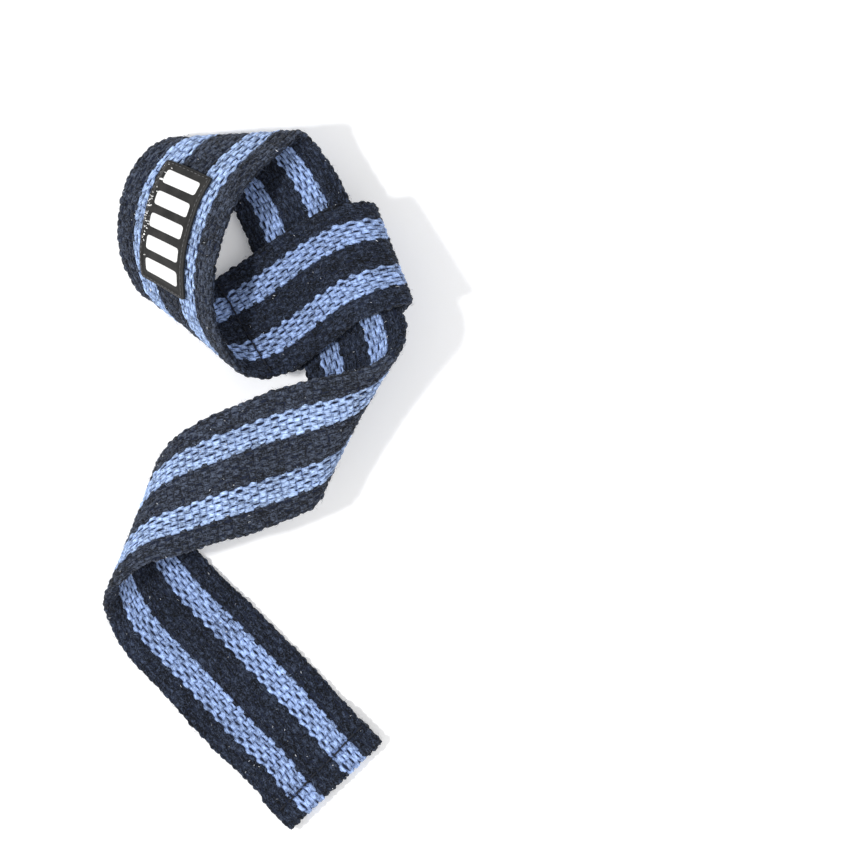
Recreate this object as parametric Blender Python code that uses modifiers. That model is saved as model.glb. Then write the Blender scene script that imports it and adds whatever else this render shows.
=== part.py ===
"""Weightlifting strap: one strip of cotton webbing, hemmed at the tail, bent over and twisted up into a
wrist loop, its other end folded back into the flat eyelet that the strip runs through. Metres, +Z up."""

import math

import bmesh
import bpy
import numpy as np

MM = 0.001

# webbing
STRAP_WIDTH = 38.0 * MM
STRAP_THICKNESS = 2.8 * MM
LAYER_GAP = 0.4 * MM          # air between two layers that lie on each other
EDGE_ROUND = 0.6 * MM         # rounding of the woven edges
ROW_LENGTH = 5.0 * MM         # longest step of the strip along its run
ROW_TURN = math.radians(20)   # largest turn in one step
ACROSS = 5                    # steps across the width

# label
LABEL_LENGTH = 37.5 * MM
LABEL_WIDTH = 18.2 * MM
LABEL_THICKNESS = 0.9 * MM
LABEL_GAP = 0.3 * MM
LABEL_ROUND = 0.3 * MM
LABEL_MIDDLE = 8.71           # along the strip, in strap widths from its hemmed end
LABEL_ACROSS = 0.49           # middle of the label, share of the strap width from edge B

NAVY = (0.026, 0.029, 0.045, 1.0)
BLACK = (0.010, 0.010, 0.011, 1.0)

# How the strip lies: straight lines across it, each from edge A to edge B. Positions in plan and heights
# above the layer are shares of the strap width. "layers" counts the strap layers underneath.
#    A x     A y    A up     B x     B y    B up   layers
LAY = [
    # hem, folded under
    (0.790, -1.890, 0.00, 0.065, -2.605, 0.00, 0.00),
    (0.870, -1.970, 0.00, 0.135, -2.675, 0.00, 0.00),
    (0.920, -2.020, 0.00, 0.185, -2.725, 0.00, 0.00),
    # end fold
    (0.947, -2.048, 0.00, 0.212, -2.752, 0.00, 0.20),
    (0.959, -2.060, 0.00, 0.224, -2.764, 0.00, 0.65),
    (0.947, -2.048, 0.00, 0.212, -2.752, 0.00, 1.10),
    # tail, flat on the surface
    (0.920, -2.020, 0.00, 0.185, -2.725, 0.00, 1.30),
    (0.870, -1.970, 0.00, 0.135, -2.675, 0.00, 1.25),
    (0.790, -1.890, 0.00, 0.065, -2.605, 0.00, 1.10),
    (0.730, -1.820, 0.00, 0.00, -2.51, 0.00, 0.80),
    (0.640, -1.730, 0.00, -0.09, -2.41, 0.00, 0.25),
    (0.445, -1.515, 0.00, -0.31, -2.21, 0.00, 0.0),
    (0.00, -1.06, 0.00, -0.75, -1.73, 0.00, 0.0),
    (-0.435, -0.63, 0.00, -1.13, -1.28, 0.02, 0.0),
    # left bend
    (-0.65, -0.37, 0.03, -1.19, -1.10, 0.13, 0.0),
    (-0.78, -0.05, 0.21, -1.19, -0.96, 0.32, 0.0),
    (-0.75, 0.14, 0.40, -1.09, -0.82, 0.45, 0.0),
    # middle band, outer face up
    (-0.61, 0.33, 0.50, -0.91, -0.68, 0.42, 1.0),
    (-0.36, 0.49, 0.60, -0.62, -0.60, 0.45, 1.0),
    (-0.09, 0.60, 0.65, -0.34, -0.51, 0.46, 1.0),
    (0.18, 0.71, 0.68, -0.05, -0.43, 0.46, 1.0),
    (0.44, 0.78, 0.70, 0.23, -0.325, 0.44, 1.0),
    (0.73, 0.84, 0.74, 0.43, -0.22, 0.39, 1.0),
    (0.97, 0.92, 0.75, 0.50, -0.06, 0.30, 1.0),
    # right bend
    (1.11, 1.03, 0.72, 0.52, 0.14, 0.20, 1.0),
    (1.16, 1.20, 0.67, 0.47, 0.42, 0.15, 1.0),
    # stretch through the eyelet, inner face up
    (1.10, 1.39, 0.63, 0.37, 0.85, 0.16, 1.0),
    (0.96, 1.77, 0.51, 0.23, 1.21, 0.10, 1.0),
    (0.73, 2.16, 0.40, -0.04, 1.76, 0.01, 1.0),
    (0.58, 2.44, 0.43, -0.19, 2.10, 0.01, 0.3),
    (0.46, 2.60, 0.51, -0.36, 2.34, 0.02, 0.0),
    # top bend
    (0.36, 2.68, 0.63, -0.68, 2.65, 0.20, 0.0),
    (0.25, 2.58, 0.74, -0.86, 2.58, 0.28, 0.0),
    # outer band, label side up
    (0.06, 2.42, 0.77, -0.99, 2.44, 0.22, 0.0),
    (-0.12, 2.19, 0.76, -1.08, 2.24, 0.14, 0.0),
    (-0.24, 1.91, 0.76, -1.115, 2.01, 0.07, 0.0),
    (-0.31, 1.65, 0.78, -1.10, 1.79, 0.04, 0.0),
    (-0.33, 1.39, 0.78, -1.04, 1.64, 0.06, 0.0),
    # bottom bend
    (-0.31, 1.19, 0.74, -0.985, 1.545, 0.07, 0.0),
    (-0.21, 0.97, 0.60, -0.885, 1.465, 0.06, 0.3),
    (-0.08, 0.82, 0.42, -0.75, 1.42, 0.04, 0.7),
    (0.08, 0.79, 0.31, -0.56, 1.46, 0.02, 1.0),
    # eyelet, upper layer
    (0.25, 0.84, 0.28, -0.25, 1.64, 0.01, 1.0),
    (0.50, 1.00, 0.33, 0.02, 1.81, 0.06, 2.0),
    (0.77, 1.21, 0.50, 0.38, 2.03, 0.26, 2.0),
    (1.02, 1.31, 0.66, 0.68, 2.14, 0.43, 2.0),
    (1.15, 1.35, 0.68, 0.84, 2.15, 0.38, 2.0),
    # eyelet fold
    (1.19, 1.36, 0.64, 0.89, 2.13, 0.26, 1.0),
    (1.12, 1.29, 0.49, 0.82, 2.08, 0.11, 1.0),
    # eyelet, lower layer
    (0.96, 1.18, 0.46, 0.59, 1.99, 0.05, 0.0),
    (0.66, 1.01, 0.28, 0.26, 1.84, 0.01, 0.0),
    (0.36, 0.87, 0.12, -0.05, 1.69, 0.00, 0.0),
    (0.07, 0.80, 0.20, -0.34, 1.54, 0.00, 0.0),
]


def smooth_rail(points, steps):
    """A smooth line through the points, with `steps` short pieces between each two of them."""
    gaps = np.linalg.norm(np.diff(points, axis=0), axis=1)
    runs = np.diff(points, axis=0) / gaps[:, None]
    slopes = np.empty_like(points)
    slopes[0], slopes[-1] = runs[0], runs[-1]
    before, after = gaps[:-1, None], gaps[1:, None]
    slopes[1:-1] = (runs[:-1] * after + runs[1:] * before) / (before + after)
    t = np.arange(steps)[:, None] / steps
    rail = []
    for start, end, slope_a, slope_b, gap in zip(points, points[1:], slopes, slopes[1:], gaps):
        rail.append(
            start * (2 * t**3 - 3 * t**2 + 1)
            + slope_a * gap * (t**3 - 2 * t**2 + t)
            + end * (3 * t**2 - 2 * t**3)
            + slope_b * gap * (t**3 - t**2)
        )
    rail.append(points[-1:])
    return np.vstack(rail)


def run_length(rail):
    """Length along the rail up to each of its points."""
    return np.concatenate([[0.0], np.cumsum(np.linalg.norm(np.diff(rail, axis=0), axis=1))])


lay = np.array(LAY)
layer_heights = lay[:, 6:] * (STRAP_THICKNESS + LAYER_GAP) + STRAP_THICKNESS / 2
edge_a = np.hstack([lay[:, 0:2], lay[:, 2:3] + layer_heights / STRAP_WIDTH]) * STRAP_WIDTH
edge_b = np.hstack([lay[:, 3:5], lay[:, 5:6] + layer_heights / STRAP_WIDTH]) * STRAP_WIDTH
rail_a, rail_b = smooth_rail(edge_a, 16), smooth_rail(edge_b, 16)
for rail in (rail_a, rail_b):
    rail[:, 2] = np.maximum(rail[:, 2], STRAP_THICKNESS / 2)   # nothing sinks into the surface below
along_a, along_b = run_length(rail_a), run_length(rail_b)
strip_length = min(along_a[-1], along_b[-1])


def place(along, across):
    """Point of the strip's middle surface: metres along it, share of its width from edge B."""
    line = (1 - across) * along_b + across * along_a
    rail = (1 - across) * rail_b + across * rail_a
    return np.stack([np.interp(along, line, rail[:, axis]) for axis in range(3)], axis=-1)


def outward(along, across):
    """Direction out of the outer face, the one that carries the label."""
    step = 0.4 * MM
    forward = place(along + step, across) - place(along - step, across)
    sideways = place(along, across + 0.02) - place(along, across - 0.02)
    normal = np.cross(forward, sideways)
    return normal / np.linalg.norm(normal, axis=-1, keepdims=True)


def strip_rows():
    """Where the rows lie along the strip: short steps where it turns, long ones where it runs straight."""
    fine = np.linspace(0, strip_length, 3000)
    cost = np.zeros(len(fine) - 1)
    for across in (0.0, 0.5, 1.0):
        runs = np.diff(place(fine, across), axis=0)
        lengths = np.linalg.norm(runs, axis=1)
        runs /= np.maximum(lengths, 1e-9)[:, None]
        turn = np.arccos(np.clip(np.sum(runs[1:] * runs[:-1], axis=1), -1, 1))
        cost = np.maximum(cost, np.concatenate([[0.0], turn]) / ROW_TURN)
    cost += np.diff(fine) / ROW_LENGTH
    total = np.concatenate([[0.0], np.cumsum(cost)])
    count = int(math.ceil(total[-1]))
    return np.interp(np.linspace(0, total[-1], count + 1), total, fine)


def sheet(name, grid, material):
    """Mesh object with one quad between each four neighbouring points of the grid."""
    rows, columns = grid.shape[:2]
    shape = bmesh.new()
    verts = [shape.verts.new(point) for point in grid.reshape(-1, 3)]
    for i in range(rows - 1):
        for j in range(columns - 1):
            k = i * columns + j
            shape.faces.new((verts[k], verts[k + columns], verts[k + columns + 1], verts[k + 1]))
    mesh = bpy.data.meshes.new(name)
    shape.to_mesh(mesh)
    shape.free()
    mesh.materials.append(material)
    piece = bpy.data.objects.new(name, mesh)
    strap.objects.link(piece)
    return piece


def thicken(piece, thickness, rounding):
    """Gives the sheet its thickness, half to each side, and softens its edges."""
    solid = piece.modifiers.new("Thickness", "SOLIDIFY")
    solid.thickness = thickness
    solid.offset = 0.0
    solid.use_even_offset = False
    soft = piece.modifiers.new("Edges", "BEVEL")
    soft.width = rounding
    soft.segments = 2
    soft.limit_method = "ANGLE"
    soft.angle_limit = math.radians(60)


def plain_material(name, colour, roughness):
    material = bpy.data.materials.new(name)
    material.use_nodes = True
    shader = material.node_tree.nodes["Principled BSDF"]
    shader.inputs["Base Color"].default_value = colour
    shader.inputs["Roughness"].default_value = roughness
    material.diffuse_color = colour
    return material


for old in list(bpy.data.objects):
    bpy.data.objects.remove(old, do_unlink=True)

strap = bpy.data.collections.new("weightlifting_strap")
bpy.context.scene.collection.children.link(strap)

# webbing
rows = strip_rows()
across = np.linspace(0, 1, ACROSS + 1)
strip = np.stack([place(rows, share) for share in across], axis=1)
webbing = sheet("webbing", strip, plain_material("webbing_navy", NAVY, 0.9))
thicken(webbing, STRAP_THICKNESS, EDGE_ROUND)

# label on the outer face of the loop
label_rows = LABEL_MIDDLE * STRAP_WIDTH + np.linspace(-0.5, 0.5, 15) * LABEL_LENGTH
label_across = LABEL_ACROSS + np.linspace(-0.5, 0.5, 7) * LABEL_WIDTH / STRAP_WIDTH
lift = STRAP_THICKNESS / 2 + LABEL_GAP + LABEL_THICKNESS / 2
patch = np.stack([place(label_rows, share) + outward(label_rows, share) * lift for share in label_across], axis=1)
label = sheet("label_patch", patch, plain_material("label_black", BLACK, 0.45))
thicken(label, LABEL_THICKNESS, LABEL_ROUND)

# the strap's lowest point and the middle of its footprint become the origin
solid_strip = webbing.evaluated_get(bpy.context.evaluated_depsgraph_get())
corners = np.array([tuple(corner) for corner in solid_strip.bound_box])
low, high = corners.min(axis=0), corners.max(axis=0)
for piece in (webbing, label):
    piece.location = (-(low[0] + high[0]) / 2, -(low[1] + high[1]) / 2, -low[2])
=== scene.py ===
import math

import bmesh
import bpy
import numpy as np
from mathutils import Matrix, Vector


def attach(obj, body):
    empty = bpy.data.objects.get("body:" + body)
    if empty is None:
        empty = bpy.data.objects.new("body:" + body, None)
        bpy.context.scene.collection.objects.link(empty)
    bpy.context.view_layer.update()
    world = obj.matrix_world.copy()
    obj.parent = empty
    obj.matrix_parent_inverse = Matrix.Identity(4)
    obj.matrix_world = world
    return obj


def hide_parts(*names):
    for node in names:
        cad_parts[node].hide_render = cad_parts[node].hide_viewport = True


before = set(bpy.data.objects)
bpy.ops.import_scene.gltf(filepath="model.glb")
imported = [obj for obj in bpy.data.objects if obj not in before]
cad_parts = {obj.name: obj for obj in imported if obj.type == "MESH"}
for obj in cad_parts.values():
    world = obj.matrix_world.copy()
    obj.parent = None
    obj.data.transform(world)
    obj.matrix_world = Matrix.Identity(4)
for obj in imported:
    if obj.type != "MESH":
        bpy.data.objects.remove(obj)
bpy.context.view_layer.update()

mm = 0.001
print("frame loaded")


# how the strip lies
strip = {
    "width": 38.0,
    "thickness": 2.8,
    "layerGap": 0.4,
    "coreThickness": 1.9,  # the woven body under the bulging yarns
    "endRadius": 1.2,  # of the rounded edges
    "shift": (0.141, 1.362, 0.0),  # from the lay's zero point to the frame's origin
    "gridStep": 0.35,
    "gridCount": 61,
}

# Straight lines across the strip, from edge A to edge B. Positions in plan and heights above the layer
# are shares of the strip width. The last column counts the strap layers underneath.
#     A x     A y    A up    B x     B y    B up  layers
lay = np.array([
    # hem, folded under
    (0.790, -1.890, 0.00, 0.065, -2.605, 0.00, 0.00),
    (0.870, -1.970, 0.00, 0.135, -2.675, 0.00, 0.00),
    (0.920, -2.020, 0.00, 0.185, -2.725, 0.00, 0.00),
    # end fold
    (0.947, -2.048, 0.00, 0.212, -2.752, 0.00, 0.20),
    (0.959, -2.060, 0.00, 0.224, -2.764, 0.00, 0.65),
    (0.947, -2.048, 0.00, 0.212, -2.752, 0.00, 1.10),
    # tail, flat on the surface
    (0.920, -2.020, 0.00, 0.185, -2.725, 0.00, 1.30),
    (0.870, -1.970, 0.00, 0.135, -2.675, 0.00, 1.25),
    (0.790, -1.890, 0.00, 0.065, -2.605, 0.00, 1.10),
    (0.730, -1.820, 0.00, 0.00, -2.51, 0.00, 0.80),
    (0.640, -1.730, 0.00, -0.09, -2.41, 0.00, 0.25),
    (0.445, -1.515, 0.00, -0.31, -2.21, 0.00, 0.0),
    (0.00, -1.06, 0.00, -0.75, -1.73, 0.00, 0.0),
    (-0.435, -0.63, 0.00, -1.13, -1.28, 0.02, 0.0),
    # left bend
    (-0.65, -0.37, 0.03, -1.19, -1.10, 0.13, 0.0),
    (-0.78, -0.05, 0.21, -1.19, -0.96, 0.32, 0.0),
    (-0.75, 0.14, 0.40, -1.09, -0.82, 0.45, 0.0),
    # middle band, outer face up
    (-0.61, 0.33, 0.50, -0.91, -0.68, 0.42, 1.0),
    (-0.36, 0.49, 0.60, -0.62, -0.60, 0.45, 1.0),
    (-0.09, 0.60, 0.65, -0.34, -0.51, 0.46, 1.0),
    (0.18, 0.71, 0.68, -0.05, -0.43, 0.46, 1.0),
    (0.44, 0.78, 0.70, 0.23, -0.325, 0.44, 1.0),
    (0.73, 0.84, 0.74, 0.43, -0.22, 0.39, 1.0),
    (0.97, 0.92, 0.75, 0.50, -0.06, 0.30, 1.0),
    # right bend
    (1.11, 1.03, 0.72, 0.52, 0.14, 0.20, 1.0),
    (1.16, 1.20, 0.67, 0.47, 0.42, 0.15, 1.0),
    # stretch through the eyelet, inner face up
    (1.10, 1.39, 0.63, 0.37, 0.85, 0.16, 1.0),
    (0.96, 1.77, 0.51, 0.23, 1.21, 0.10, 1.0),
    (0.73, 2.16, 0.40, -0.04, 1.76, 0.01, 1.0),
    (0.58, 2.44, 0.43, -0.19, 2.10, 0.01, 0.3),
    (0.46, 2.60, 0.51, -0.36, 2.34, 0.02, 0.0),
    # top bend
    (0.36, 2.68, 0.63, -0.68, 2.65, 0.20, 0.0),
    (0.25, 2.58, 0.74, -0.86, 2.58, 0.28, 0.0),
    # outer band, label side up
    (0.06, 2.42, 0.77, -0.99, 2.44, 0.22, 0.0),
    (-0.12, 2.19, 0.76, -1.08, 2.24, 0.14, 0.0),
    (-0.24, 1.91, 0.76, -1.115, 2.01, 0.07, 0.0),
    (-0.31, 1.65, 0.78, -1.10, 1.79, 0.04, 0.0),
    (-0.33, 1.39, 0.78, -1.04, 1.64, 0.06, 0.0),
    # bottom bend
    (-0.31, 1.19, 0.74, -0.985, 1.545, 0.07, 0.0),
    (-0.21, 0.97, 0.60, -0.885, 1.465, 0.06, 0.3),
    (-0.08, 0.82, 0.42, -0.75, 1.42, 0.04, 0.7),
    (0.08, 0.79, 0.31, -0.56, 1.46, 0.02, 1.0),
    # eyelet, upper layer
    (0.25, 0.84, 0.28, -0.25, 1.64, 0.01, 1.0),
    (0.50, 1.00, 0.33, 0.02, 1.81, 0.06, 2.0),
    (0.77, 1.21, 0.50, 0.38, 2.03, 0.26, 2.0),
    (1.02, 1.31, 0.66, 0.68, 2.14, 0.43, 2.0),
    (1.15, 1.35, 0.68, 0.84, 2.15, 0.38, 2.0),
    # eyelet fold
    (1.19, 1.36, 0.64, 0.89, 2.13, 0.26, 1.0),
    (1.12, 1.29, 0.49, 0.82, 2.08, 0.11, 1.0),
    # eyelet, lower layer
    (0.96, 1.18, 0.46, 0.59, 1.99, 0.05, 0.0),
    (0.66, 1.01, 0.28, 0.26, 1.84, 0.01, 0.0),
    (0.36, 0.87, 0.12, -0.05, 1.69, 0.00, 0.0),
    (0.07, 0.80, 0.20, -0.34, 1.54, 0.00, 0.0),
])


def smoothRail(points, steps=16):
    gaps = np.linalg.norm(np.diff(points, axis=0), axis=1)
    runs = np.diff(points, axis=0) / gaps[:, None]
    slopes = np.empty_like(points)
    slopes[0], slopes[-1] = runs[0], runs[-1]
    before, after = gaps[:-1, None], gaps[1:, None]
    slopes[1:-1] = (runs[:-1] * after + runs[1:] * before) / (before + after)
    t = np.arange(steps)[:, None] / steps
    rail = []
    for start, end, slopeA, slopeB, gap in zip(points, points[1:], slopes, slopes[1:], gaps):
        rail.append(
            start * (2 * t**3 - 3 * t**2 + 1) + slopeA * gap * (t**3 - 2 * t**2 + t)
            + end * (3 * t**2 - 2 * t**3) + slopeB * gap * (t**3 - t**2)
        )
    rail.append(points[-1:])
    return np.vstack(rail)


def runLength(rail):
    return np.concatenate([[0.0], np.cumsum(np.linalg.norm(np.diff(rail, axis=0), axis=1))])


# everything about the strip is in millimetres until a mesh is made
width, half = strip["width"], strip["thickness"] / 2
rise = lay[:, 6:] * (strip["thickness"] + strip["layerGap"]) + half
railA = smoothRail(np.hstack([lay[:, 0:2] * width, lay[:, 2:3] * width + rise]))
railB = smoothRail(np.hstack([lay[:, 3:5] * width, lay[:, 5:6] * width + rise]))
for rail in (railA, railB):
    rail[:, 2] = np.maximum(rail[:, 2], half)  # nothing sinks into the surface below
    rail += strip["shift"]
alongA, alongB = runLength(railA), runLength(railB)
stripLength = min(alongA[-1], alongB[-1])

# the strip's middle surface on a fine grid, with its directions
gridStep, gridCount = strip["gridStep"], strip["gridCount"]
gridAlong = np.arange(0, stripLength, gridStep)
gridAcross = np.linspace(0, 1, gridCount)
middle = np.empty((len(gridAlong), gridCount, 3))
for column, share in enumerate(gridAcross):
    line = (1 - share) * alongB + share * alongA
    rail = (1 - share) * railB + share * railA
    for axis in range(3):
        middle[:, column, axis] = np.interp(gridAlong, line, rail[:, axis])
forward = np.gradient(middle, axis=0)
forward /= np.linalg.norm(forward, axis=2, keepdims=True)
outwards = np.cross(forward, np.gradient(middle, axis=1))
outwards /= np.linalg.norm(outwards, axis=2, keepdims=True)
sideways = np.cross(outwards, forward)  # towards edge A
gridData = np.concatenate([middle, outwards, sideways], axis=2)


def onStrip(along, share):
    i = np.clip(along / gridStep, 0, len(gridAlong) - 1.001)
    j = np.clip(share * (gridCount - 1), 0, gridCount - 1.001)
    i0, j0 = i.astype(int), j.astype(int)
    fi, fj = (i - i0)[..., None], (j - j0)[..., None]
    data = (
        gridData[i0, j0] * (1 - fi) * (1 - fj) + gridData[i0 + 1, j0] * fi * (1 - fj)
        + gridData[i0, j0 + 1] * (1 - fi) * fj + gridData[i0 + 1, j0 + 1] * fi * fj
    )
    return data[..., 0:3], data[..., 3:6], data[..., 6:9]


# the way round the strip starts in the middle of the outer face, goes over edge A to the inner face and
# comes back over edge B
flatHalf = width / 2 - half
flatRun, endRun = 2 * flatHalf, math.pi * strip["endRadius"]
roundRun = 2 * (flatRun + endRun)


def aroundStrip(along, turn, lift):
    q = np.mod(turn, roundRun)
    inner = (q > flatHalf + endRun) & (q < flatHalf + endRun + flatRun)
    endA = (q > flatHalf) & (q <= flatHalf + endRun)
    endB = (q >= flatHalf + endRun + flatRun) & (q < roundRun - flatHalf)
    x = np.where(q <= flatHalf, q, q - roundRun)
    x = np.where(inner, roundRun / 2 - q, x)
    x = np.where(endA, flatHalf, np.where(endB, -flatHalf, x))
    angle = np.where(inner, math.pi, 0.0)
    angle = np.where(endA, (q - flatHalf) / strip["endRadius"], angle)
    angle = np.where(endB, math.pi + (q - flatHalf - endRun - flatRun) / strip["endRadius"], angle)
    point, out, side = onStrip(along, 0.5 + x / width)
    away = out * np.cos(angle)[..., None] + side * np.sin(angle)[..., None]
    return point + away * lift[..., None]


def makePiece(name, points, faces, material, smooth=True, place=None, tint=None):
    points = points * mm
    points[:, 2] = np.maximum(points[:, 2], 0.0)  # what touches the surface below is pressed flat
    mesh = bpy.data.meshes.new(name)
    mesh.from_pydata(points.tolist(), [], faces.tolist() if hasattr(faces, "tolist") else faces)
    mesh.polygons.foreach_set("use_smooth", [smooth] * len(mesh.polygons))
    if place is not None:
        yarnPlace = mesh.attributes.new("yarnPlace", "FLOAT_VECTOR", "POINT")
        yarnPlace.data.foreach_set("vector", place.ravel())
    if tint is not None:
        yarnTint = mesh.attributes.new("yarnTint", "FLOAT", "POINT")
        yarnTint.data.foreach_set("value", tint.ravel())
    mesh.materials.append(material)
    piece = bpy.data.objects.new(name, mesh)
    bpy.context.scene.collection.objects.link(piece)
    return piece


print("strip laid out,", round(stripLength), "mm long")


# node trees
def newGroup(name, inputs, outputs):
    group = bpy.data.node_groups.new(name, "ShaderNodeTree")
    for title, kind, value in inputs:
        socket = group.interface.new_socket(title, in_out="INPUT", socket_type=kind)
        socket.default_value = value
    for title, kind in outputs:
        group.interface.new_socket(title, in_out="OUTPUT", socket_type=kind)
    return group, group.nodes.new("NodeGroupInput"), group.nodes.new("NodeGroupOutput")


def mathNode(tree, operation, first, second=None):
    node = tree.nodes.new("ShaderNodeMath")
    node.operation = operation
    for index, value in enumerate((first, second)):
        if value is None:
            continue
        if isinstance(value, (int, float)):
            node.inputs[index].default_value = value
        else:
            tree.links.new(value, node.inputs[index])
    return node.outputs[0]


def mixColour(tree, factor, first, second, blend="MIX"):
    node = tree.nodes.new("ShaderNodeMix")
    node.data_type, node.blend_type = "RGBA", blend
    for index, value in ((0, factor), (6, first), (7, second)):
        if isinstance(value, (int, float, tuple)):
            node.inputs[index].default_value = value
        else:
            tree.links.new(value, node.inputs[index])
    return node.outputs[2]


def remap(tree, value, fromLow, fromHigh, toLow, toHigh):
    node = tree.nodes.new("ShaderNodeMapRange")
    for index, number in zip((1, 2, 3, 4), (fromLow, fromHigh, toLow, toHigh)):
        node.inputs[index].default_value = number
    tree.links.new(value, node.inputs[0])
    return node.outputs[0]


def noiseNode(tree, vector, scale, detail=3.0):
    node = tree.nodes.new("ShaderNodeTexNoise")
    node.inputs["Scale"].default_value = scale
    node.inputs["Detail"].default_value = detail
    tree.links.new(vector, node.inputs["Vector"])
    return node.outputs["Fac"]


def cottonFibres():  # colour and relief of spun cotton: lengthwise fibres, painted shade in the hollows between yarns, uneven dye
    group, given, result = newGroup(
        "cottonFibres",
        [("Colour", "NodeSocketColor", (0.5, 0.5, 0.5, 1)),
         ("HollowShade", "NodeSocketColor", (0.1, 0.1, 0.1, 1)),
         ("Uneven", "NodeSocketFloat", 0.2),
         ("Felt", "NodeSocketFloat", 0.2)],
        [("Colour", "NodeSocketColor"), ("Height", "NodeSocketFloat")],
    )
    place = group.nodes.new("ShaderNodeAttribute")
    place.attribute_name = "yarnPlace"
    tint = group.nodes.new("ShaderNodeAttribute")
    tint.attribute_name = "yarnTint"
    split = group.nodes.new("ShaderNodeSeparateXYZ")
    group.links.new(place.outputs["Vector"], split.inputs[0])
    across, along, height = split.outputs
    # the yarn's twist makes its fibres run slightly askew
    askew = mathNode(group, "ADD", mathNode(group, "MULTIPLY", across, 4.2),
                     mathNode(group, "MULTIPLY", along, 0.9))
    fibre = group.nodes.new("ShaderNodeCombineXYZ")
    group.links.new(askew, fibre.inputs[0])
    group.links.new(mathNode(group, "MULTIPLY", along, 0.7), fibre.inputs[1])
    group.links.new(mathNode(group, "MULTIPLY", tint.outputs["Fac"], 40.0), fibre.inputs[2])
    streak = noiseNode(group, fibre.outputs[0], 1.0, 2.0)
    body = group.nodes.new("ShaderNodeTexCoord")
    patch = noiseNode(group, body.outputs["Object"], 60.0, 3.0)
    fleck = noiseNode(group, body.outputs["Object"], 2000.0, 3.0)
    # painted shade: low on a yarn the colour turns to its hollow shade colour, high up to its own
    # colour
    shadeByHeight = remap(group, height, 0.1, 0.85, 0.0, 1.0)
    colour = mixColour(group, shadeByHeight, given.outputs["HollowShade"], given.outputs["Colour"])
    level = mathNode(group, "ADD", remap(group, streak, 0.35, 0.65, -0.8, 0.8),
                     remap(group, patch, 0.3, 0.7, -0.3, 0.3))
    level = mathNode(group, "ADD", level, mathNode(group, "SUBTRACT", tint.outputs["Fac"], 0.5))
    felt = remap(group, fleck, 0.35, 0.65, -0.5, 0.5)
    felt = mathNode(group, "MULTIPLY", felt, given.outputs["Felt"])
    gain = mathNode(group, "ADD", mathNode(group, "ADD", 1.0, felt),
                    mathNode(group, "MULTIPLY", level, given.outputs["Uneven"]))
    gain = mathNode(group, "MAXIMUM", gain, 0.15)  # never quite black
    grey = group.nodes.new("ShaderNodeCombineColor")
    for socket in grey.inputs[:3]:
        group.links.new(gain, socket)
    group.links.new(mixColour(group, 1.0, colour, grey.outputs[0], "MULTIPLY"), result.inputs["Colour"])
    relief = mathNode(group, "ADD", mathNode(group, "MULTIPLY", streak, 0.7),
                      mathNode(group, "MULTIPLY", fleck, 0.5))
    group.links.new(relief, result.inputs["Height"])
    return group


fibres = cottonFibres()


def cottonMaterial(name, look):
    material = bpy.data.materials.new(name)
    material.use_nodes = True
    tree = material.node_tree
    shader = tree.nodes["Principled BSDF"]
    shader.inputs["Roughness"].default_value = look["roughness"]
    shader.inputs["Specular IOR Level"].default_value = 0.2
    shader.inputs["Sheen Weight"].default_value = look["sheen"]
    shader.inputs["Sheen Roughness"].default_value = 0.6
    cotton = tree.nodes.new("ShaderNodeGroup")
    cotton.node_tree = fibres
    cotton.inputs["Colour"].default_value = (*look["colour"], 1)
    cotton.inputs["HollowShade"].default_value = (*look["hollowShade"], 1)
    cotton.inputs["Uneven"].default_value = look["uneven"]
    cotton.inputs["Felt"].default_value = look["felt"]
    tree.links.new(cotton.outputs["Colour"], shader.inputs["Base Color"])
    bump = tree.nodes.new("ShaderNodeBump")
    bump.inputs["Strength"].default_value = 0.7
    bump.inputs["Distance"].default_value = look["relief"] * mm
    tree.links.new(cotton.outputs["Height"], bump.inputs["Height"])
    tree.links.new(bump.outputs["Normal"], shader.inputs["Normal"])
    return material


# the hollow colour of each finish is painted shade, the colour its yarns take low down between bulges
finishes = {
    "blueOuter": {"colour": (0.355, 0.475, 0.72), "hollowShade": (0.060, 0.100, 0.24),
                  "uneven": 0.55, "felt": 0.55,
                  "roughness": 0.9, "sheen": 0.10, "relief": 0.20},
    "blueInner": {"colour": (0.300, 0.415, 0.69), "hollowShade": (0.050, 0.082, 0.20),
                  "uneven": 0.55, "felt": 0.55,
                  "roughness": 0.9, "sheen": 0.10, "relief": 0.20},
    "navyOuter": {"colour": (0.035, 0.044, 0.066), "hollowShade": (0.012, 0.015, 0.024),
                  "uneven": 1.00, "felt": 1.9,
                  "roughness": 0.95, "sheen": 0.08, "relief": 0.40},
    "navyInner": {"colour": (0.020, 0.027, 0.046), "hollowShade": (0.005, 0.007, 0.012),
                  "uneven": 1.05, "felt": 2.1,
                  "roughness": 0.95, "sheen": 0.03, "relief": 0.40},
    "navyFluff": {"colour": (0.085, 0.100, 0.140), "hollowShade": (0.030, 0.036, 0.055),
                  "uneven": 0.9, "felt": 0.5,
                  "roughness": 0.95, "sheen": 0.03, "relief": 0.02},
    "coreCotton": {"colour": (0.022, 0.030, 0.060), "hollowShade": (0.010, 0.014, 0.028),
                   "uneven": 0.4, "felt": 0.8,
                   "roughness": 0.95, "sheen": 0.0, "relief": 0.10},
    "darkThread": {"colour": (0.014, 0.016, 0.024), "hollowShade": (0.004, 0.004, 0.006),
                   "uneven": 0.3, "felt": 0.2,
                   "roughness": 0.7, "sheen": 0.05, "relief": 0.05},
    "greyThread": {"colour": (0.11, 0.11, 0.115), "hollowShade": (0.01, 0.01, 0.01),
                   "uneven": 0.8, "felt": 0.4,
                   "roughness": 0.7, "sheen": 0.05, "relief": 0.04},
    "paleLint": {"colour": (0.72, 0.74, 0.78), "hollowShade": (0.40, 0.41, 0.44),
                 "uneven": 0.6, "felt": 0.2,
                 "roughness": 0.8, "sheen": 0.10, "relief": 0.04},
}
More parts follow.
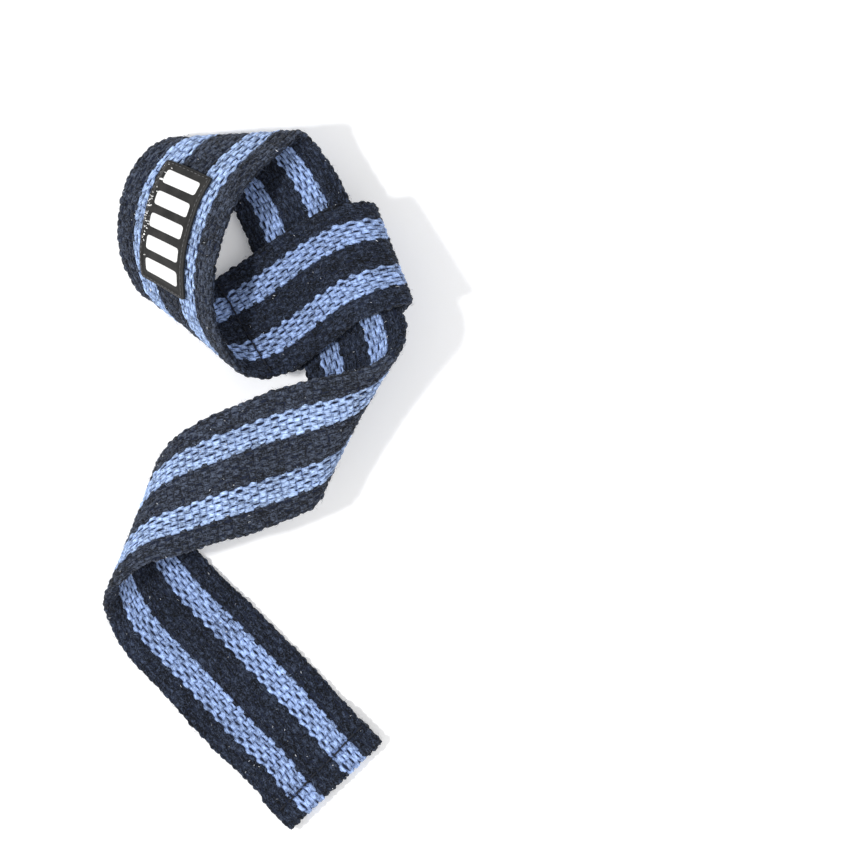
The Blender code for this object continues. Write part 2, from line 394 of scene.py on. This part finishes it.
cottons = {name: cottonMaterial(name, look) for name, look in finishes.items()}
print("cotton finishes ready")


# the woven body under the yarns, in millimetres and steps
core = {"rowStep": 1.1, "flatSteps": 12, "endSteps": 5}


def buildCore():
    turns = np.concatenate([
        np.linspace(-flatHalf, flatHalf, core["flatSteps"], endpoint=False),
        flatHalf + np.linspace(0, endRun, core["endSteps"], endpoint=False),
        flatHalf + endRun + np.linspace(0, flatRun, core["flatSteps"], endpoint=False),
        flatHalf + endRun + flatRun + np.linspace(0, endRun, core["endSteps"], endpoint=False),
    ])
    rows = np.linspace(0.4, stripLength - 0.4, int(stripLength / core["rowStep"]))
    along, turn = np.meshgrid(rows, turns, indexing="ij")
    points = aroundStrip(along, turn, np.full(along.shape, strip["coreThickness"] / 2))
    n = len(turns)
    i, j = np.meshgrid(np.arange(len(rows) - 1), np.arange(n), indexing="ij")
    a, b = i * n + j, i * n + (j + 1) % n
    faces = np.stack([a, a + n, b + n, b], axis=-1).reshape(-1, 4).tolist()
    last = (len(rows) - 1) * n
    faces += [list(range(n)), list(range(last + n - 1, last - 1, -1))]
    # the height share of 0.3 gives the core mostly its painted hollow shade
    place = np.stack([turn, along, np.full(along.shape, 0.3)], axis=-1)
    return makePiece("webbing_core", points.reshape(-1, 3), faces, cottons["coreCotton"], True,
                     place.reshape(-1, 3), np.full(along.size, 0.5))


webbingCore = buildCore()
print("core built")


# each bulge of a warp yarn between two picks
yarns = {
    "columns": 64,  # all the way round, 28 on each face and 4 at each edge
    "rowPitch": 2.30,
    "halfLength": 1.44,
    "halfWidth": 0.69,
    "lean": 0.25,  # two neighbours lean together, and part again in the next row
    "bulge": 0.52,
    "bulgeLimits": (0.1, 0.72),
    "sunk": 0.10,  # how far a bulge's rim lies under the core's face
    "endTaper": 0.38,
    "sizeSpread": 0.07,
    "placeSpread": 0.06,
    "lengthSpread": 0.05,
    "alongSpread": 0.10,
    "bulgeSpread": 0.13,
    "roughBlue": 1.3,  # how uneven the yarns of a colour are
    "roughNavy": 2.2,
    "tooth": 0.30,  # how far the outermost blue bulge stands out in every second row
    "toothLength": 1.25,
    "navyMiddle": 4,  # columns from the strip's middle
    "blueBeyond": 6,
}

seams = {
    "stitch": 2.7,
    "space": 0.5,
    "threadRadius": 0.24,
    "hemAlong": (16.3, 18.0),  # at edge B and at edge A, measured from the hemmed end
    "eyeletAlong": (383.7, 381.2),
    "wander": 0.12,
    "pull": 0.85,  # how far a seam flattens the yarns under it, and how far to its sides
    "pullReach": 0.7,
}


def buildYarns():
    rng = np.random.default_rng(11)
    count = yarns["columns"]
    pitch = roundRun / count
    rows = np.arange(int((stripLength - 1.2) / yarns["rowPitch"]))
    row, column = (grid.ravel() for grid in np.meshgrid(rows, np.arange(count), indexing="ij"))
    total = len(row)
    partner = np.where((row + column) % 2 == 0, 1.0, -1.0)
    onFace = column % (count // 2)
    fromMiddle = np.minimum(onFace, count // 2 - 1 - onFace)
    blueFrom, blueTo = yarns["navyMiddle"], yarns["navyMiddle"] + yarns["blueBeyond"]
    blue = (fromMiddle >= blueFrom) & (fromMiddle < blueTo)
    inner = (column >= count // 4) & (column < 3 * count // 4)
    # the borders of the blue stripes are toothed: a bulge stands out in one row, tucks in in the next
    isBlue = np.zeros(count + 2, bool)
    isBlue[column + 1] = blue
    isBlue[0], isBlue[-1] = isBlue[-2], isBlue[1]
    evenRow = row % 2 == 0
    lowEdge, highEdge = blue & ~isBlue[column], blue & ~isBlue[column + 2]
    besideLow, besideHigh = ~blue & isBlue[column + 2], ~blue & isBlue[column]
    tooth = (np.where(lowEdge, np.where(evenRow, -1.0, 0.9), 0.0)
             + np.where(highEdge, np.where(evenRow, -0.3, 0.9), 0.0))
    tooth += (np.where(besideLow, np.where(evenRow, -0.8, 0.9), 0.0)
              + np.where(besideHigh, np.where(evenRow, -0.5, 0.6), 0.0))
    proud = (lowEdge & evenRow) | (highEdge & ~evenRow)
    tucked = (lowEdge & ~evenRow) | (besideLow & evenRow)
    stretched = np.where(lowEdge & evenRow, yarns["toothLength"], 1.0)[:, None]
    rough = np.where(blue, yarns["roughBlue"], yarns["roughNavy"])[:, None]

    # one bulge, as shares of its half width and half length
    u = np.array([-1, -0.62, 0, 0.62, 1.0])
    v = np.array([-1, -0.72, -0.25, 0.25, 0.72, 1.0])
    n = len(u)
    vv, uu = (grid.ravel() for grid in np.meshgrid(v, u, indexing="ij"))
    faces = np.array([
        [r * n + c, r * n + c + 1, (r + 1) * n + c + 1, (r + 1) * n + c]
        for r in range(len(v) - 1) for c in range(n - 1)
    ])

    def spread(amount):
        return rng.normal(0, amount, total)[:, None]

    bow = np.cos(vv * math.pi * 0.85)[None, :]
    toPartner = partner[:, None]
    size = 1 + spread(yarns["sizeSpread"]) * rough
    size = size * np.where(proud, 1.05, np.where(tucked, 0.75, 1.0))[:, None]
    wide = yarns["halfWidth"] * size * (1 - yarns["endTaper"] * np.abs(vv[None, :]) ** 3.5)
    centre = (column[:, None] + 0.5) * pitch + toPartner * yarns["lean"] * bow
    centre = centre + spread(yarns["placeSpread"]) * rough
    centre = centre + tooth[:, None] * yarns["tooth"]
    turn = centre + uu[None, :] * wide
    halfLength = yarns["halfLength"] * stretched * (1 + spread(yarns["lengthSpread"]))
    along = ((row[:, None] + 0.55) * yarns["rowPitch"] + vv[None, :] * halfLength
             + spread(yarns["alongSpread"]) * rough
             + 0.12 * np.sin(column[:, None] * 1.7) + 0.06 * uu[None, :])
    along = np.clip(along, 0.2, stripLength - 0.2)
    inward = np.clip(uu[None, :] * toPartner, 0, 1)  # the side that touches the partner stays higher
    acrossShape = 1 - np.abs(uu[None, :]) ** 2.3 * (1 - 0.55 * inward)
    alongShape = 1 - np.abs(vv[None, :]) ** 2.7
    shape = acrossShape * alongShape
    bulge = yarns["bulge"] * (1 + spread(yarns["bulgeSpread"]) * rough)
    bulge = bulge * np.where(proud, 1.1, np.where(tucked, 0.85, 1.0))[:, None]
    bulge = np.clip(bulge, *yarns["bulgeLimits"])
    # the seams pull the yarns down; the colour reads the same height, so the pulled yarns also get more
    # painted shade
    across = np.where(inner[:, None], roundRun / 2 - turn,
                      np.where(turn < roundRun / 2, turn, turn - roundRun))
    for ends in (seams["hemAlong"], seams["eyeletAlong"]):
        away = along - (ends[0] + (ends[1] - ends[0]) * (0.5 + across / width))
        pulled = seams["pull"] * inner[:, None] * np.exp(-((away / seams["pullReach"]) ** 2))
        shape = shape * (1 - pulled)
    lift = strip["coreThickness"] / 2 - yarns["sunk"] + (bulge + yarns["sunk"]) * shape
    points = aroundStrip(along, turn, lift)
    tint = np.repeat(rng.uniform(0, 1, total)[:, None], len(uu), axis=1)
    place = np.stack([turn, along, shape], axis=-1)

    pieces = []
    for name, chosen, material in (
        ("webbing_outer_blue", blue & ~inner, "blueOuter"),
        ("webbing_outer_navy", ~blue & ~inner, "navyOuter"),
        ("webbing_inner_blue", blue & inner, "blueInner"),
        ("webbing_inner_navy", ~blue & inner, "navyInner"),
    ):
        picked = np.nonzero(chosen)[0]
        quads = (faces[None] + (np.arange(len(picked)) * len(uu))[:, None, None]).reshape(-1, 4)
        pieces.append(makePiece(
            name, points[picked].reshape(-1, 3), quads, cottons[material], True,
            place[picked].reshape(-1, 3), tint[picked],
        ))
    return pieces


yarnPieces = buildYarns()
print("yarns built,", sum(len(piece.data.polygons) for piece in yarnPieces) * 2, "triangles")


def tubes(paths, radii, sides=6):  # round threads along lists of points, tapered at both ends
    points, faces, along, start = [], [], [], 0
    for path, radius in zip(paths, radii):
        path = np.asarray(path, float)
        run = np.gradient(path, axis=0)
        run /= np.maximum(np.linalg.norm(run, axis=1, keepdims=True), 1e-9)
        guide = np.array([0.0, 0.0, 1.0]) if abs(run[0][2]) < 0.9 else np.array([1.0, 0.0, 0.0])
        first = np.cross(run, guide)
        first /= np.maximum(np.linalg.norm(first, axis=1, keepdims=True), 1e-9)
        second = np.cross(run, first)
        taper = np.sqrt(np.clip(1 - np.abs(np.linspace(-1, 1, len(path))) ** 4, 0.12, 1))
        for turn in range(len(path)):
            angle = np.linspace(0, 2 * math.pi, sides, endpoint=False)
            ring = path[turn] + radius * taper[turn] * (
                np.cos(angle)[:, None] * first[turn] + np.sin(angle)[:, None] * second[turn])
            points.append(ring)
            along.append(np.column_stack([angle, np.full(sides, turn * 0.4), np.full(sides, 0.8)]))
        for turn in range(len(path) - 1):
            for side in range(sides):
                a, b = start + turn * sides + side, start + turn * sides + (side + 1) % sides
                faces.append([a, b, b + sides, a + sides])
        faces.append([start + side for side in range(sides)][::-1])
        last = start + (len(path) - 1) * sides
        faces.append([last + side for side in range(sides)])
        start = last + sides
    return np.vstack(points), faces, np.vstack(along)


def seamLine(along, rng):  # stitches straight across the inner face
    paths = []
    x = -flatHalf + 1.0
    while x < flatHalf - 2.0:
        t = np.linspace(0, 1, 7)
        across = x + t * seams["stitch"]
        share = 0.5 + across / width
        s = along[0] + (along[1] - along[0]) * share + rng.normal(0, seams["wander"])
        dip = half + 0.04 + 0.20 * np.sin(math.pi * t) - 0.45 * (np.abs(2 * t - 1) ** 6)
        paths.append(aroundStrip(s, roundRun / 2 - across, dip))
        x += seams["stitch"] + seams["space"]
    return paths


seamRng = np.random.default_rng(5)
seamPaths = seamLine(seams["hemAlong"], seamRng) + seamLine(seams["eyeletAlong"], seamRng)
seamPoints, seamFaces, seamPlace = tubes(seamPaths, [seams["threadRadius"]] * len(seamPaths))
seamThread = makePiece("seam_thread", seamPoints, seamFaces, cottons["darkThread"], True, seamPlace,
                       np.full(len(seamPoints), 0.5))


fuzz = {"navy": 7200, "blue": 1800, "radius": 0.035, "length": (0.5, 2.0), "rise": (0.1, 0.55)}


def buildFuzz(name, amount, blue, material, seed):
    rng = np.random.default_rng(seed)
    pitch = roundRun / yarns["columns"]
    low, high = yarns["navyMiddle"] * pitch, (yarns["navyMiddle"] + yarns["blueBeyond"]) * pitch
    t = np.linspace(0, 1, 5)[:, None]
    paths = []
    while len(paths) < amount:
        along, turn = rng.uniform(1, stripLength - 1), rng.uniform(0, roundRun)
        fromMiddle = min(turn % (roundRun / 2), roundRun / 2 - turn % (roundRun / 2))
        if (low < fromMiddle < high) != blue:
            continue
        point = aroundStrip(np.array([along]), np.array([turn]), np.array([half - 0.15]))[0]
        out = aroundStrip(np.array([along]), np.array([turn]), np.array([half + 0.85]))[0] - point
        side = rng.normal(0, 1, 3)
        side -= out * side.dot(out)
        side /= np.linalg.norm(side)
        curl = np.cross(out, side) * rng.normal(0, 0.5)
        reach = rng.uniform(*fuzz["length"])
        rise = rng.uniform(*fuzz["rise"])
        path = point + reach * (t * side + rise * out * np.sin(t * 2.4) + curl * t**2)
        if path[:, 2].min() > 0.02:
            paths.append(path)
    sides = 3
    points, faces, place = tubes(paths, [fuzz["radius"]] * amount, sides)
    tint = np.repeat(rng.uniform(0, 1, amount), len(t) * sides)
    return makePiece(name, points, faces, cottons[material], True, place, tint)


lint = {"amount": 420, "radius": 0.09, "length": (0.15, 0.9)}


def buildLint():  # pale specks and short ends caught in the cotton
    rng = np.random.default_rng(31)
    amount, sides, steps = lint["amount"], 4, 4
    alongs = rng.uniform(2, stripLength - 2, amount)
    turns = rng.uniform(0, roundRun, amount)
    reaches = rng.uniform(*lint["length"], amount)
    paths = []
    for along, turn, reach in zip(alongs, turns, reaches):
        angle = rng.uniform(0, math.pi)
        t = np.linspace(-0.5, 0.5, steps) * reach
        lift = half + 0.12 + rng.uniform(-0.05, 0.1) + 0.1 * np.sin(t * 5)
        paths.append(aroundStrip(along + t * math.cos(angle), turn + t * math.sin(angle), lift))
    points, faces, place = tubes(paths, list(lint["radius"] * rng.uniform(0.5, 1.2, amount)), sides)
    tint = np.repeat(rng.uniform(0, 1, amount), steps * sides)
    return makePiece("lint_specks", points, faces, cottons["paleLint"], True, place, tint)


lintSpecks = buildLint()
looseNavy = buildFuzz("loose_fibres_navy", fuzz["navy"], False, "navyFluff", 21)
looseBlue = buildFuzz("loose_fibres_blue", fuzz["blue"], True, "blueOuter", 22)
print("seams and loose fibres built")


# the patch on the loop's outer face, in millimetres
label = {
    "length": 37.5,
    "width": 18.2,
    "thickness": 0.9,
    "gap": 0.3,
    "middle": 8.71 * strip["width"],  # along the strip, from its hemmed end
    "across": 0.49,  # a share of the strip's width, from edge B
    "lip": 1.3,
    "lipHeight": 0.16,
    "rimDrop": 0.22,  # how far and how wide the rim is rounded off
    "grooveDepth": 0.14,
    "corner": 1.2,
    "mesh": (90, 48),
    "ribs": 5,
    "ribSize": (4.4, 13.2),  # along and across the strip
    "ribPitch": 6.9,
    "ribHeight": 0.35,
    "ribCorner": 1.1,
    "ribMesh": (10, 30),
    "drawnIn": 1.2,
    "stitch": 1.5,
    "stitchRadius": 0.13,
    "wear": 46,  # number of chips
}


def onLabel(a, c, lift):  # a along the strip from the label's middle, c across it, both in millimetres
    # the stiff patch is drawn in a little halfway along its edge B side
    halfway = 1 - np.minimum(np.abs(2 * a / label["length"]), 1) ** 2
    c = c + label["drawnIn"] * halfway * (0.5 - c / label["width"])
    share = label["across"] + c / width
    return aroundStrip(label["middle"] + a, (share - 0.5) * width, half + label["gap"] + lift)


def roundedGrid(length, wide, rows, columns, corner):  # a grid on a rectangle with rounded corners
    a = np.linspace(-0.5, 0.5, rows + 1) * length
    c = np.linspace(-0.5, 0.5, columns + 1) * wide
    a, c = np.meshgrid(a, c, indexing="ij")
    overA = np.clip(np.abs(a) - (length / 2 - corner), 0, None)
    overC = np.clip(np.abs(c) - (wide / 2 - corner), 0, None)
    reach = np.maximum(np.hypot(overA, overC), 1e-9)
    pull = np.where(reach > corner, corner / reach, 1.0)
    a = np.sign(a) * (np.abs(a) - overA * (1 - pull))
    c = np.sign(c) * (np.abs(c) - overC * (1 - pull))
    i, j = np.meshgrid(np.arange(rows), np.arange(columns), indexing="ij")
    k = (i * (columns + 1) + j).reshape(-1)
    return a, c, np.stack([k, k + 1, k + columns + 2, k + columns + 1], axis=-1)


def lipShare(edge):  # 1 on the raised lip, 0 inside it
    return 1 / (1 + np.exp((edge - label["lip"]) * 9))


def buildLabel():
    rows, columns = label["mesh"]
    a, c, upper = roundedGrid(label["length"], label["width"], rows, columns, label["corner"])
    edge = np.minimum(label["length"] / 2 - np.abs(a), label["width"] / 2 - np.abs(c))
    lip = lipShare(edge)
    rim = label["rimDrop"] * np.exp(-edge / label["rimDrop"])
    lift = label["thickness"] - rim + label["lipHeight"] * lip - 0.05
    groove = np.exp(-((edge - label["lip"] - 0.25) / 0.22) ** 2) * label["grooveDepth"]
    top = onLabel(a, c, lift - groove)
    bottom = onLabel(a, c, np.full(a.shape, 0.0))
    n = columns + 1
    offset = n * (rows + 1)
    under = upper[:, ::-1] + offset
    ring = ([(0, j) for j in range(columns)] + [(i, columns) for i in range(rows)]
            + [(rows, j) for j in range(columns, 0, -1)] + [(i, 0) for i in range(rows, 0, -1)])
    ids = [i * n + j for i, j in ring]
    walls = [[here, here + offset, after + offset, after]
             for here, after in zip(ids, ids[1:] + ids[:1])]
    faces = upper.tolist() + under.tolist() + walls
    points = np.vstack([top.reshape(-1, 3), bottom.reshape(-1, 3)])
    place = np.stack([c, a, np.clip(1 - lip, 0, 1)], axis=-1).reshape(-1, 3)
    return makePiece("label_patch_cover", points, faces, labelMaterial, True, np.vstack([place, place]))


def buildRibs():  # plain raised bars, moulded on the patch
    rows, columns = label["ribMesh"]
    a, c, quads = roundedGrid(*label["ribSize"], rows, columns, label["ribCorner"])
    i, j = np.meshgrid(np.arange(rows + 1), np.arange(columns + 1), indexing="ij")
    rim = (i == 0) | (i == rows) | (j == 0) | (j == columns)
    near = (i == 1) | (i == rows - 1) | (j == 1) | (j == columns - 1)
    raised = np.where(rim, 0.0, np.where(near, label["ribHeight"] * 0.8, label["ribHeight"]))
    lift = label["thickness"] - 0.1 + raised
    points, faces = [], []
    for rib in range(label["ribs"]):
        a0 = (rib - (label["ribs"] - 1) / 2) * label["ribPitch"]
        points.append(onLabel(a + a0, c, lift).reshape(-1, 3))
        faces += (quads + rib * a.size).tolist()
    return makePiece("label_ribs", np.vstack(points), faces, ribMaterial)


def labelStitches():  # one row all round, near the patch's rim
    rng = np.random.default_rng(8)
    inset = label["lip"] * 0.62
    la, lc = label["length"] / 2 - inset, label["width"] / 2 - inset
    corners = [(-la, -lc), (la, -lc), (la, lc), (-la, lc)]
    paths = []
    for start, end in zip(corners, corners[1:] + corners[:1]):
        start, end = np.array(start), np.array(end)
        length = np.linalg.norm(end - start)
        count = int(length / label["stitch"])
        for m in range(count):
            t = (m + 0.18 + np.linspace(0, 0.64, 5)) / count
            spot = start + (end - start) * t[:, None] + rng.normal(0, 0.04, 2)
            bow = np.linspace(-1, 1, 5)
            lift = label["thickness"] + label["lipHeight"] - 0.12 + 0.16 * (1 - bow**4)
            paths.append(onLabel(spot[:, 0], spot[:, 1], lift))
    points, faces, place = tubes(paths, [label["stitchRadius"]] * len(paths), 5)
    tint = np.full(len(points), 0.5)
    return makePiece("label_stitching", points, faces, cottons["greyThread"], True, place, tint)


def buildWear():  # small chips where the patch's coating has rubbed off along its edge B side
    rng = np.random.default_rng(17)
    corners = 6
    points, faces = [], []
    for chip in range(label["wear"]):
        a0 = rng.normal(-1.0, 6.5)
        c0 = -label["width"] / 2 + 0.5 + abs(rng.normal(0, 1.3))
        angle = np.sort(rng.uniform(0, 2 * math.pi, corners))
        reach = rng.uniform(0.16, 0.60) * rng.uniform(0.5, 1.2, corners)
        spot = np.column_stack([a0 + reach * np.cos(angle) * 0.7, c0 + reach * np.sin(angle) * 1.3])
        lift = label["thickness"] + label["lipHeight"] * lipShare(c0 + label["width"] / 2)
        points.append(onLabel(spot[:, 0], spot[:, 1], np.full(corners, lift)))
        faces.append(list(range(chip * corners, (chip + 1) * corners)))
    return makePiece("label_wear", np.vstack(points), faces, ribMaterial, False)


def patchMaterial(name, look):
    material = bpy.data.materials.new(name)
    material.use_nodes = True
    tree = material.node_tree
    shader = tree.nodes["Principled BSDF"]
    shader.inputs["Specular IOR Level"].default_value = look["specular"]
    body = tree.nodes.new("ShaderNodeTexCoord")
    cloud = noiseNode(tree, body.outputs["Object"], look["cloud"], 4.0)
    grain = noiseNode(tree, body.outputs["Object"], 4200.0, 3.0)
    worn = remap(tree, cloud, 0.42, 0.68, 0.0, 1.0)
    colour = mixColour(tree, worn, (*look["colour"], 1), (*look["worn"], 1))
    colour = mixColour(tree, mathNode(tree, "MULTIPLY", grain, 0.35), colour, (*look["fleck"], 1))
    tree.links.new(colour, shader.inputs["Base Color"])
    tree.links.new(remap(tree, cloud, 0.3, 0.7, *look["roughness"]), shader.inputs["Roughness"])
    bump = tree.nodes.new("ShaderNodeBump")
    bump.inputs["Strength"].default_value = 0.5
    bump.inputs["Distance"].default_value = look["relief"] * mm
    tree.links.new(grain, bump.inputs["Height"])
    tree.links.new(bump.outputs["Normal"], shader.inputs["Normal"])
    return material


labelMaterial = patchMaterial("labelRubber", {
    "colour": (0.006, 0.006, 0.006), "worn": (0.022, 0.021, 0.020), "fleck": (0.045, 0.044, 0.043),
    "cloud": 240.0, "roughness": (0.38, 0.55), "specular": 0.28, "relief": 0.05,
})
ribMaterial = patchMaterial("ribRubber", {
    "colour": (0.86, 0.86, 0.85), "worn": (0.80, 0.80, 0.80), "fleck": (0.88, 0.88, 0.88),
    "cloud": 160.0, "roughness": (0.40, 0.50), "specular": 0.4, "relief": 0.02,
})

labelCover, labelRibs, labelThread, labelWear = buildLabel(), buildRibs(), labelStitches(), buildWear()
print("label built")


# the pieces join the frame
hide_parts("webbing")
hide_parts("label_patch")
strapPieces = [webbingCore, *yarnPieces, seamThread, looseNavy, looseBlue, lintSpecks,
               labelCover, labelRibs, labelThread, labelWear]
for piece in strapPieces:
    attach(piece, "root")


# floor, light and camera
studio = {
    "floorColour": (0.97, 0.97, 0.975),
    "floorGlow": 0.15,  # lit from below as well, as a light table is
    "lights": {  # place, size and power
        "keyLeft": ((-0.42, -0.03, 0.79), 0.08, 4.7),
        "fillRight": ((0.40, 0.04, 0.76), 0.60, 1.5),
    },
    "surround": 0.68,
    "floorSize": 1.6,
    "floorDrop": 0.0001,  # just clear of the strap's underside
    "cameraPlace": (0.04924, 0.01793, 1.2),
    "lens": 169.5,
}


def buildStudio():
    shape = bmesh.new()
    bmesh.ops.create_grid(shape, x_segments=1, y_segments=1, size=studio["floorSize"])
    mesh = bpy.data.meshes.new("floor")
    shape.to_mesh(mesh)
    shape.free()
    material = bpy.data.materials.new("floorWhite")
    material.use_nodes = True
    shader = material.node_tree.nodes["Principled BSDF"]
    shader.inputs["Base Color"].default_value = (*studio["floorColour"], 1)
    shader.inputs["Roughness"].default_value = 0.8
    shader.inputs["Specular IOR Level"].default_value = 0.2
    shader.inputs["Emission Color"].default_value = (1, 1, 1, 1)
    shader.inputs["Emission Strength"].default_value = studio["floorGlow"]
    mesh.materials.append(material)
    floor = bpy.data.objects.new("floor", mesh)
    floor.location.z = -studio["floorDrop"]
    lamps = []
    for name, (place, size, power) in studio["lights"].items():
        lamp = bpy.data.objects.new(name, bpy.data.lights.new(name, "AREA"))
        lamp.data.size, lamp.data.energy = size, power
        lamp.location = place
        lamp.rotation_euler = (-Vector(place)).to_track_quat("-Z", "Y").to_euler()
        lamps.append(lamp)
    camera = bpy.data.objects.new("camera", bpy.data.cameras.new("camera"))
    camera.data.lens = studio["lens"]
    camera.data.clip_start, camera.data.clip_end = 0.01, 20
    camera.location = studio["cameraPlace"]
    for thing in (floor, *lamps, camera):
        bpy.context.scene.collection.objects.link(thing)
    bpy.context.scene.camera = camera
    world = bpy.data.worlds.new("surround")
    world.use_nodes = True
    world.node_tree.nodes["Background"].inputs["Color"].default_value = (1, 1, 1, 1)
    world.node_tree.nodes["Background"].inputs["Strength"].default_value = studio["surround"]
    bpy.context.scene.world = world
    bpy.context.scene.view_settings.view_transform = "Standard"


buildStudio()
print("studio built")

bpy.context.view_layer.update()
